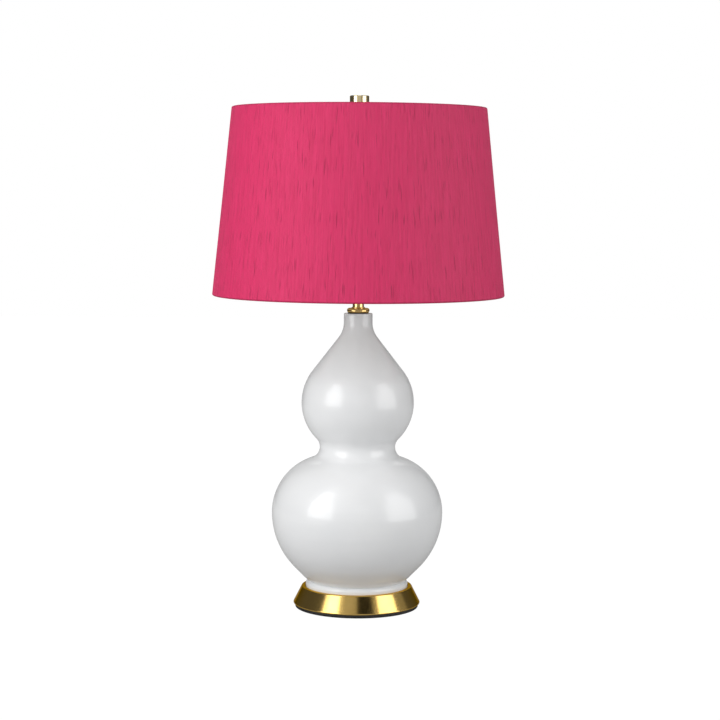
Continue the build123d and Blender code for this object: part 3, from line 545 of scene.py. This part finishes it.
# %% Finish
class Finish(Graph):
    """A material made round one Principled shader. Its constants are set on the shader itself."""

    def __init__(self, name, **constants):
        super().__init__(bpy.data.materials.new(name))
        self.shader = self.tree.nodes["Principled BSDF"]
        self.place = self.node("ShaderNodeTexCoord", {}, {}, "Object")
        for socket_name, value in constants.items():
            self.set(socket_name.replace("_", " "), value)

    def set(self, socket_name, value):
        """Give the shader's socket a value or a constant."""
        self.feed(self.shader.inputs[socket_name], value)

    def parts(self, vector):
        """The three numbers of a vector."""
        return self.node("ShaderNodeSeparateXYZ", {}, {0: vector}, 0, 1, 2)

    def vector(self, x, y, z):
        """A vector of three numbers."""
        return self.node("ShaderNodeCombineXYZ", {}, {0: x, 1: y, 2: z})

    def noise(self, vector, scale=1.0, detail=2.0, rough=0.5):
        """Smooth noise from 0 to 1."""
        inputs = {"Vector": vector, "Scale": scale, "Detail": detail, "Roughness": rough}
        return self.node("ShaderNodeTexNoise", {}, inputs)

    def stretch(self, x, y, z):
        """The place on the piece, scaled along each axis."""
        settings = {"operation": "MULTIPLY"}
        return self.node("ShaderNodeVectorMath", settings, {0: self.place, 1: (x, y, z)})

    def between(self, value, low, high):
        """Map a value's range from low..high to 0..1, without going past its ends."""
        return self.node("ShaderNodeMapRange", {"clamp": True}, {0: value, 1: low, 2: high})

    def blend(self, factor, first, second):
        """A colour between two colours."""
        inputs = {0: factor, 6: first, 7: second}
        return self.node("ShaderNodeMix", {"data_type": "RGBA"}, inputs, 2)

    def bump(self, height, distance, under=None):
        """Shade as if the surface stood `distance` metres higher where height is 1."""
        inputs = {"Height": height, "Distance": distance}
        if under is not None:
            inputs["Normal"] = under
        return self.node("ShaderNodeBump", {}, inputs)

    def paint(self, *targets):
        """Put the finish on pieces, and on CAD nodes given by name."""
        for target in targets:
            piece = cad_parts[target] if isinstance(target, str) else target
            piece.data.materials.clear()
            piece.data.materials.append(self.owner)
        print(self.owner.name, "nodes:", len(self.tree.nodes), "pieces:", len(targets))


# %% [markdown]
# ## White glaze
#
# The glaze is a clear glassy coat over a white body. The coat has levelled itself in the kiln, and
# gives the sharp window-shaped highlights. The body under it keeps faint rings from the wheel and a
# soft unevenness, which its bump gives to the broad sheen. One smooth layer would look like plastic.

# %% White glaze
glaze = Finish(
    "white_glaze",
    Roughness=0.32,
    IOR=1.45,
    Specular_IOR_Level=0.35,
    Coat_Weight=0.7,
    Coat_Roughness=0.02,
    Coat_IOR=1.45,
)
thin_glaze = (0.78, 0.79, 0.80)
thick_glaze = (0.82, 0.828, 0.832)
cloudy = glaze.noise(glaze.place, scale=9.0, detail=3.0)
glaze.set("Base Color", glaze.blend(glaze.between(cloudy, 0.3, 0.7), thin_glaze, thick_glaze))
rings = glaze.noise(glaze.stretch(3.0, 3.0, 62.0))
peel = glaze.noise(glaze.place, scale=70.0)
glaze.set("Normal", glaze.bump(peel, 0.05 * mm, under=glaze.bump(rings, 0.4 * mm)))
glaze.paint(gourd)

# %% [markdown]
# ## Brass
#
# The plinth is spun brass, brushed while it turned, then lacquered. Its scratches run round it, so
# they spread a reflection up and down and leave it sharp from side to side: that is why the studio's
# lights show as upright bands. Noise stretched along the rings gives the scratches, through bump and
# roughness. The neck and fittings are buffed instead, and show only faint cloudy wear.


# %% Brushed and buffed brass
def brass(name, colour, worn, roughness, buffed):
    """A brass with slightly worn patches. Buffed brass is smooth, the other is brushed in rings."""
    metal = Finish(name, Metallic=1.0, IOR=1.5, Specular_Tint=colour)
    wear = metal.noise(metal.place, scale=38.0, detail=4.0, rough=0.6)
    metal.set("Base Color", metal.blend(metal.between(wear, 0.35, 0.75), colour, worn))
    if buffed:
        swirl = metal.noise(metal.place, scale=420.0, detail=3.0, rough=0.6)
        metal.set("Roughness", roughness + 0.10 * metal.between(wear, 0.4, 0.8))
        metal.set("Normal", metal.bump(swirl, 0.01 * mm))
    else:
        fine = metal.noise(metal.stretch(9.0, 9.0, 2600.0), rough=0.7)
        broad = metal.noise(metal.stretch(4.0, 4.0, 520.0), detail=1.0)
        metal.set("Roughness", roughness + 0.10 * fine)
        metal.set("Normal", metal.bump(fine + broad, 0.025 * mm))
    return metal


brushed = brass("brushed_brass", (0.80, 0.545, 0.175), (0.71, 0.47, 0.14), 0.11, buffed=False)
brushed.paint("base_plinth")
polished = brass("polished_brass", (0.82, 0.58, 0.24), (0.74, 0.51, 0.20), 0.12, buffed=True)
polished.paint(
    "neck_cap",
    "neck_tube",
    "harp_saddle",
    "harp_wire",
    "harp_foot_left",
    "harp_foot_right",
    "harp_crown_block",
    "ferrule_left",
    "ferrule_right",
    "shade_rest",
    "socket_cap",
    "socket_shell",
    "spider_hub",
    "spider_arms",
)
pale = brass("pale_brass", (0.80, 0.66, 0.38), (0.73, 0.59, 0.33), 0.10, buffed=True)
pale.paint("finial")
contact = brass("contact_brass", (0.72, 0.52, 0.25), (0.55, 0.38, 0.17), 0.28, buffed=True)
contact.paint("screw_shell", "centre_contact", "terminal_screws", "switch_shaft")

# %% [markdown]
# ## Cut threads
#
# The solids leave the fine threads of the rod and of the harp's stud as plain cylinders. Ridges in
# the bump, one for each turn of the thread, show them where a joint bares them, and cost no faces.
# The grooves between the ridges are painted darker, as shade, along with patches of grime.


# %% Threads
def threaded(name, colour, pitch, roughness):
    """A threaded metal with ridges at a pitch along the axis, in millimetres, and painted shade in
    its grooves.
    """
    metal = Finish(name, Metallic=1.0, IOR=1.5)
    x, y, z = metal.parts(metal.place)
    phase = z * (1 / (pitch * mm)) + metal.math("ARCTAN2", y, x) * (1 / (2 * pi))
    ridge = metal.math("PINGPONG", phase, 0.5)
    grime = metal.noise(metal.place, scale=90.0, detail=3.0)
    # Painted shade: the grooves, and patches of grime, take this darker copy of the metal's colour.
    dark = tuple(0.45 * channel for channel in colour)
    groove_shade_and_grime = metal.between(ridge + 0.25 * grime, 0.05, 0.4)
    metal.set("Base Color", metal.blend(groove_shade_and_grime, dark, colour))
    metal.set("Roughness", roughness + 0.12 * grime)
    metal.set("Normal", metal.bump(ridge, 0.6 * mm))
    return metal


threaded("threaded_steel", (0.56, 0.55, 0.52), pitch=1.0, roughness=0.26).paint("threaded_rod")
threaded("threaded_brass", (0.78, 0.56, 0.25), pitch=0.94, roughness=0.20).paint("harp_stud")

# %% [markdown]
# ## Pink silk
#
# Slub silk is woven with an uneven thread, here upright. Most threads are smooth, and some swell
# into short darker slubs a few centimetres long. Noise that is narrow across the thread and long
# along it gives both: one layer for the faint streaks, and one cut off high for the slubs. The
# pattern follows the angle round the shade, so that it doesn't smear where the wall turns away.


# %% Pink silk
def slub_silk(name, light, deep, slub):
    """Silk with upright uneven threads, laid out by the angle round the shade."""
    cloth = Finish(
        name, Sheen_Weight=0.06, Sheen_Roughness=0.4, Sheen_Tint=(1.0, 0.62, 0.76), IOR=1.35
    )
    x, y, z = cloth.parts(cloth.place)
    across = cloth.math("ARCTAN2", x, 0 - y) * 0.19  # metres round the shade at its middle
    streaks = cloth.noise(cloth.vector(across * 330.0, z * 15.0, 0.0), detail=3.0, rough=0.62)
    fine = cloth.noise(cloth.vector(across * 1100.0, z * 60.0, 4.0))
    slubs = cloth.noise(cloth.vector(across * 400.0, z * 30.0, 9.0), detail=1.0)
    weft = cloth.math("SINE", z * 9000.0)
    warp = cloth.math("SINE", across * 11000.0)
    tone = cloth.between(streaks * 0.75 + fine * 0.25, 0.34, 0.66)
    body = cloth.blend(tone, deep, light)
    knot = cloth.between(slubs, 0.61, 0.74)
    cloth.set("Base Color", cloth.blend(knot, body, slub))
    cloth.set("Roughness", 0.52 + 0.16 * fine)
    thread = cloth.bump(streaks + fine * 0.5 + knot * 0.5, 0.5 * mm)
    cloth.set("Normal", cloth.bump(weft * 0.5 + warp, 0.03 * mm, under=thread))
    return cloth


wall_silk = slub_silk(
    "pink_silk", light=(0.66, 0.021, 0.125), deep=(0.54, 0.013, 0.090), slub=(0.42, 0.008, 0.070)
)
wall_silk.paint(silk, seam)
# The hems take a darker copy of the silk: painted shade along the rolled rims.
shaded_edge_silk = slub_silk(
    "pink_silk_painted_shade",
    light=(0.52, 0.016, 0.092),
    deep=(0.43, 0.010, 0.070),
    slub=(0.34, 0.006, 0.055),
)
shaded_edge_silk.paint(top_roll, bottom_roll)

# %% [markdown]
# ## The plain materials
#
# The rest is what a lamp is put together with. Each has its own small unevenness: felt has fuzz and
# lint, board has fibres, moulded plastic has a faint ripple, and the bulb's glass is coated white
# inside. They are hidden most of the time, and show when the lamp is taken apart. One recipe with
# its own colours, scale and depth for each is enough at that size.


# %% Plain materials
def plain(name, light, dark, rough, scale, depth, **constants):
    """An even material with a mottle of two colours, and a fine bump of a depth in millimetres."""
    stuff = Finish(name, **constants)
    mottle = stuff.noise(stuff.place, scale=scale, detail=4.0, rough=0.6)
    stuff.set("Base Color", stuff.blend(stuff.between(mottle, 0.3, 0.7), dark, light))
    stuff.set("Roughness", rough + 0.1 * mottle)
    stuff.set("Normal", stuff.bump(mottle, depth * mm))
    return stuff


plain(
    "felt", (0.016, 0.016, 0.017), (0.006, 0.006, 0.007), rough=0.86, scale=900.0, depth=0.6
).paint(felt)
plain(
    "cover_board", (0.018, 0.017, 0.016), (0.010, 0.010, 0.009), rough=0.55, scale=500.0, depth=0.1
).paint("bottom_cover")
plain(
    "black_bushing",
    (0.025, 0.025, 0.026),
    (0.015, 0.015, 0.016),
    rough=0.42,
    scale=220.0,
    depth=0.05,
).paint("cord_bushing")
plain(
    "grey_gasket", (0.060, 0.058, 0.054), (0.040, 0.038, 0.036), rough=0.70, scale=400.0, depth=0.1
).paint("foot_gasket", "neck_gasket")
plain(
    "fibre_liner", (0.42, 0.31, 0.20), (0.33, 0.24, 0.15), rough=0.74, scale=300.0, depth=0.2
).paint("socket_liner")
plain(
    "phenolic", (0.022, 0.020, 0.019), (0.012, 0.011, 0.011), rough=0.30, scale=60.0, depth=0.06
).paint("socket_interior", "turn_knob")
plain(
    "bulb_insulator",
    (0.020, 0.018, 0.024),
    (0.012, 0.010, 0.014),
    rough=0.18,
    scale=90.0,
    depth=0.03,
).paint("bulb_insulator")
plain(
    "opal_glass",
    (0.86, 0.86, 0.84),
    (0.81, 0.81, 0.79),
    rough=0.22,
    scale=25.0,
    depth=0.03,
    Coat_Weight=1.0,
    Coat_Roughness=0.04,
).paint("bulb_envelope")
plain(
    "white_liner", (0.82, 0.81, 0.79), (0.77, 0.76, 0.74), rough=0.50, scale=240.0, depth=0.06
).paint(liner)

# %% [markdown]
# ## Plated metals
#
# Washers, nut, shade rings and the bulb's cap are plated steel or aluminium. They have the same even
# mottle as above with the shader set to metal, since zinc's spangle and a rolled sheet's streaks are
# too small to show on parts of this size. The brass recipe would give them a grain that they lack.


# %% Plated metals
def plated(name, light, dark, rough, scale, depth):
    """A plain material that is metal."""
    return plain(name, light, dark, rough, scale, depth, Metallic=1.0)


plated(
    "zinc", (0.62, 0.62, 0.60), (0.46, 0.47, 0.47), rough=0.30, scale=160.0, depth=0.04
).paint("clamp_washer", "lock_washer", "rod_nut", "cap_set_screw")
plated(
    "bulb_cap_metal", (0.78, 0.77, 0.74), (0.62, 0.61, 0.58), rough=0.24, scale=130.0, depth=0.03
).paint("bulb_screw_cap", "bulb_tip")
plated(
    "ring_wire", (0.60, 0.60, 0.58), (0.45, 0.45, 0.44), rough=0.34, scale=180.0, depth=0.03
).paint("top_ring", "bottom_ring")

# %% [markdown]
# ## The studio
#
# The lamp stands in a white room. The world is plain white where it is seen, straight or in a
# reflection, and a little dimmer where it lights the lamp, so that the glaze doesn't clip to white.
# A backdrop could do the same, but its corners and its edge would show in the glaze.

# %% World
room_light = 0.72  # the strength of the world where it lights the lamp
world = bpy.data.worlds.new("studio")
bpy.context.scene.world = world
sky = Graph(world)
ray_kinds = ("Is Camera Ray", "Is Glossy Ray", "Is Transmission Ray")
straight_ray, glossy_ray, through_ray = sky.node("ShaderNodeLightPath", {}, {}, *ray_kinds)
seen = sky.math("MAXIMUM", sky.math("MAXIMUM", straight_ray, glossy_ray), through_ray)
background = sky.tree.nodes["Background"]
sky.feed(background.inputs["Color"], (1, 1, 1))
sky.feed(background.inputs["Strength"], seen * (1 - room_light) + room_light)
print("world nodes:", len(sky.tree.nodes))

# %% [markdown]
# ## The floor
#
# The lamp stands on white paper. True paper would come out grey beside the white room, so the camera
# sees mostly an even glow, mixed with a little of the paper's true shading: that keeps the shadow
# under the foot. The paper lies a hair under the felt, so that their faces don't fight.

# %% Floor
floor_half = 6.0  # metres
floor_z = -0.0004
shadow_left = 0.10  # how much of the true shading the white floor keeps
floor_glow = 1.09
floor_shape = bmesh.new()
bmesh.ops.create_grid(floor_shape, x_segments=1, y_segments=1, size=floor_half)
bmesh.ops.translate(floor_shape, vec=(0, 0, floor_z), verts=floor_shape.verts)
floor = finish_piece("floor", floor_shape)
paper = Finish("white_paper", Base_Color=(0.45, 0.45, 0.45), Roughness=0.9, Specular_IOR_Level=0.0)
straight_ray = paper.node("ShaderNodeLightPath", {}, {}, "Is Camera Ray")
true_shading = Value(paper, paper.shader.outputs[0])
glow = paper.node("ShaderNodeEmission", {}, {"Strength": floor_glow})
mixed = paper.node(
    "ShaderNodeMixShader", {}, {0: straight_ray * (1 - shadow_left), 1: true_shading, 2: glow}
)
paper.feed(paper.tree.nodes["Material Output"].inputs["Surface"], mixed)
paper.paint(floor)

# %% [markdown]
# ## Soft boxes
#
# Two tall soft boxes light the lamp, one near on the left and a wider one on the right. They give the
# glaze its four windows and the brass its two bright bands. Each is an area light, which lights the
# lamp, and a panel in its place, which is seen in the glaze and the metal. Splitting them lets the
# light on the silk and the brightness of the highlights be set apart, as a photographer does with a
# grid in front of a box.


# %% Soft boxes
def flat_light(name, strength):
    """A material that shines evenly."""
    light = Graph(bpy.data.materials.new(name))
    light.tree.nodes.remove(light.tree.nodes["Principled BSDF"])
    glow = light.node("ShaderNodeEmission", {}, {"Strength": strength})
    light.feed(light.tree.nodes["Material Output"].inputs["Surface"], glow)
    return light.owner


def reflected_only(made, strength):
    """Show an object in reflections alone, with an even glow."""
    made.data.materials.append(flat_light(made.name, strength))
    made.visible_camera = False
    made.visible_diffuse = False
    made.visible_shadow = False
    made.visible_transmission = False
    made.visible_volume_scatter = False


def soft_box(name, azimuth, distance, height, width, tall, lights, shows):
    """An upright light that faces the lamp. Azimuth 0 is the camera's side, and -90 the left."""
    angle = radians(azimuth)
    turn = Matrix.Rotation(angle, 4, "Z") @ Matrix.Rotation(pi / 2, 4, "X")
    place = Matrix.Translation((distance * sin(angle), -distance * cos(angle), height))
    lamp = bpy.data.lights.new(name, "AREA")
    lamp.shape = "RECTANGLE"
    lamp.size = width
    lamp.size_y = tall
    lamp.energy = lights * pi * width * tall
    box = bpy.data.objects.new(name, lamp)
    bpy.context.scene.collection.objects.link(box)
    box.matrix_world = place @ turn
    box.visible_glossy = False
    panel = bmesh.new()
    bmesh.ops.create_grid(panel, x_segments=1, y_segments=1, size=0.5)
    bmesh.ops.scale(panel, vec=(width, tall, 1), verts=panel.verts)
    bmesh.ops.transform(panel, matrix=place @ turn, verts=panel.verts)
    reflected_only(finish_piece(name + "_panel", panel), shows)
    print(name, "watts:", round(lamp.energy, 1))


soft_box(
    "left_box",
    azimuth=-50,
    distance=1.6,
    height=1.12,
    width=1.00,
    tall=1.90,
    lights=3.2,
    shows=3.8,
)
soft_box(
    "right_box",
    azimuth=62,
    distance=1.8,
    height=0.95,
    width=1.40,
    tall=1.90,
    lights=1.10,
    shows=2.9,
)

# %% [markdown]
# ## Cards and flags
#
# Polished metal shows nothing but its surroundings, so the dark bands on the brass are the black and
# grey cards of a photo studio. They are seen only in reflections, and leave the light on the lamp
# alone. The plinth's sloping side mirrors what is high up, and upright walls mirror what is low, so
# there is a row of each. Flags stand nearer, in front of the boxes' edges, and narrow the bright
# bands on the plinth. A picture wrapped round the world could do this too, but not be tuned by hand.

# %% Cards and flags
card_middle = 0.30  # metres above the floor, the centre of the sphere that the cards lie on
card_steps = 12


def card(name, from_azimuth, to_azimuth, low, high, strength, radius):
    """A curved card round the lamp, seen only in reflections. Angles are degrees."""
    elevations = [radians(low + (high - low) * i / card_steps) for i in range(card_steps + 1)]
    shape = draw_line(
        [(0, -radius * cos(angle), card_middle + radius * sin(angle)) for angle in elevations]
    )
    start = Matrix.Rotation(radians(from_azimuth), 3, "Z")
    bmesh.ops.rotate(shape, verts=shape.verts, cent=(0, 0, 0), matrix=start)
    spin_round(shape, radians(to_azimuth - from_azimuth), card_steps)
    reflected_only(finish_piece(name, shape), strength)


def card_row(name, low, high, radius, row):
    """Cards side by side, each from one azimuth to another and with its own strength."""
    for from_azimuth, to_azimuth, strength in row:
        card(f"{name}_{from_azimuth}", from_azimuth, to_azimuth, low, high, strength, radius)


high_row = [
    (-160, -112, 0.01),
    (-112, -72, 0.08),
    (-31, 1, 0.48),
    (1, 37, 0.01),
    (80, 104, 0.28),
    (104, 160, 0.01),
]
low_row = [
    (-160, -70, 0.09),
    (-31, 37, 0.34),
    (80, 108, 0.28),
    (108, 160, 0.09),
    (160, 200, 0.35),
]
flag_row = [(-70, -62, 0.12), (-38, -31, 0.60), (38, 46, 0.10), (74, 86, 0.55)]
card_row("high_card", low=24, high=80, radius=2.4, row=high_row)
card_row("low_card", low=-8, high=24, radius=2.4, row=low_row)
card("finial_card", -31, 20, low=7, high=24, strength=0.62, radius=2.3)
card_row("flag", low=24, high=80, radius=1.45, row=flag_row)

# %% [markdown]
# ## Close
#
# The view transform stays plain, so that a colour comes out as it is written.

# %% View transform
bpy.context.scene.view_settings.view_transform = "Standard"
